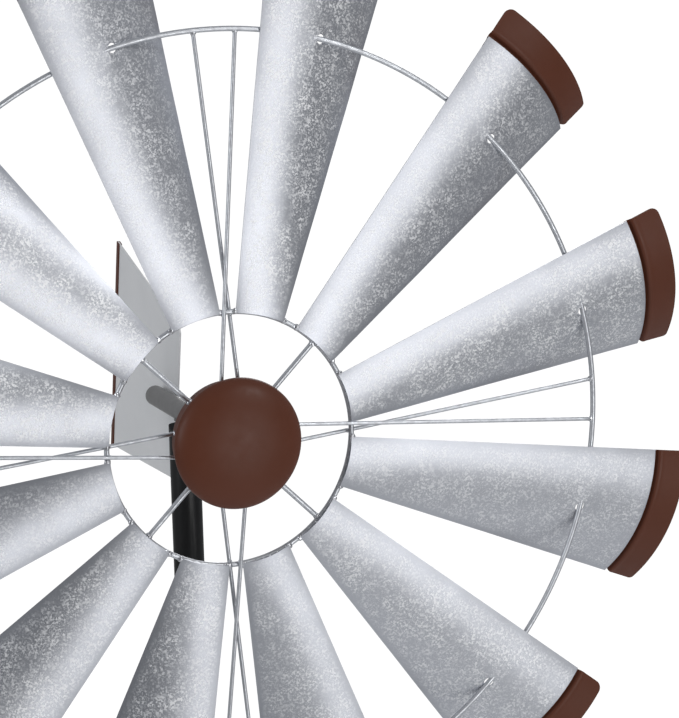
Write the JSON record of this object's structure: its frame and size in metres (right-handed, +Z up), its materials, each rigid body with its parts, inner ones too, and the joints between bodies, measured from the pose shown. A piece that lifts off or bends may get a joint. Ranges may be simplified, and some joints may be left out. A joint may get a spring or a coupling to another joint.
{
  "type": "kinetic wind sculpture",
  "caption": "Garden wind spinner shaped like a farm windmill: a bladed wheel on twin wire rings, a tail vane on a boom, on a swivelling pole with a ground stake.",
  "frame": {"origin": "on the pole's axis at ground level, where the step plate rests on the soil", "axes": "+Z up the pole; the wheel faces -Y with its axle along Y; the tail vane trails towards +Y; X runs across the wheel"},
  "size_m": [0.6064, 0.2925, 1.9026],
  "materials": {
    "galvanised_steel": "satin, finely spangled",
    "brown_paint": "satin chocolate brown",
    "grey_paint": "matte pale grey",
    "dark_grey_paint": "satin dark grey",
    "black_powder_coat": "semi-gloss black",
    "zinc_plated_steel": "bright zinc plate",
    "bearing_steel": "polished",
    "black_nylon": "matte black, self-lubricating",
    "sintered_bronze": "dull, oil-filled"
  },
  "bodies": {
    "pole": {"ground_fork": "black_powder_coat", "step_plate": "black_powder_coat", "lower_pole": "black_powder_coat", "middle_pole": "black_powder_coat", "upper_pole": "black_powder_coat", "lower_coupler": "zinc_plated_steel", "upper_coupler": "zinc_plated_steel", "pole_screws": "zinc_plated_steel", "retaining_screw": "zinc_plated_steel", "upper_bush": "black_nylon", "lower_bush": "sintered_bronze", "thrust_plug": "zinc_plated_steel", "thrust_ball": "bearing_steel"},
    "head": {"pivot_stem": "zinc_plated_steel", "boom_tube": "dark_grey_paint", "vane_plate": "grey_paint", "vane_edge_trim": "brown_paint", "axle_plug": "dark_grey_paint", "axle_bolt": "zinc_plated_steel", "axle_washers": "zinc_plated_steel", "bearing_spacer": "zinc_plated_steel", "front_bearing_inner_ring": "bearing_steel", "rear_bearing_inner_ring": "bearing_steel"},
    "bearing_balls": {"front_bearing_balls": "bearing_steel", "rear_bearing_balls": "bearing_steel"},
    "wheel": {"hub_barrel": "galvanised_steel", "hub_drum": "brown_paint", "hub_cap": "brown_paint", "front_bearing_outer_ring": "bearing_steel", "rear_bearing_outer_ring": "bearing_steel", "inner_ring": "galvanised_steel", "outer_ring": "galvanised_steel", "ring_spokes": "galvanised_steel", "front_cross_wires": "galvanised_steel", "rear_cross_wires": "galvanised_steel", "blade_01": "galvanised_steel", "blade_02": "galvanised_steel", "blade_03": "galvanised_steel", "blade_04": "galvanised_steel", "blade_05": "galvanised_steel", "blade_06": "galvanised_steel", "blade_07": "galvanised_steel", "blade_08": "galvanised_steel", "blade_09": "galvanised_steel", "blade_10": "galvanised_steel", "blade_11": "galvanised_steel", "blade_12": "galvanised_steel", "blade_tip_01": "brown_paint", "blade_tip_02": "brown_paint", "blade_tip_03": "brown_paint", "blade_tip_04": "brown_paint", "blade_tip_05": "brown_paint", "blade_tip_06": "brown_paint", "blade_tip_07": "brown_paint", "blade_tip_08": "brown_paint", "blade_tip_09": "brown_paint", "blade_tip_10": "brown_paint", "blade_tip_11": "brown_paint", "blade_tip_12": "brown_paint"}
  },
  "joints": [
    {"name": "head_yaw", "type": "hinge", "parent": "pole", "child": "head", "pos_m": [0, 0, 1.3], "axis": [0, 0, 1], "continuous": true},
    {"name": "wheel_spin", "type": "hinge", "parent": "head", "child": "wheel", "pos_m": [0, -0.089, 1.4], "axis": [0, 1, 0], "continuous": true},
    {"name": "ball_orbit", "type": "hinge", "parent": "head", "child": "bearing_balls", "pos_m": [0, -0.089, 1.4], "axis": [0, 1, 0], "continuous": true}
  ],
  "couplings": [
    {"joint": "ball_orbit", "follows": "wheel_spin", "ratio": 0.628}
  ]
}
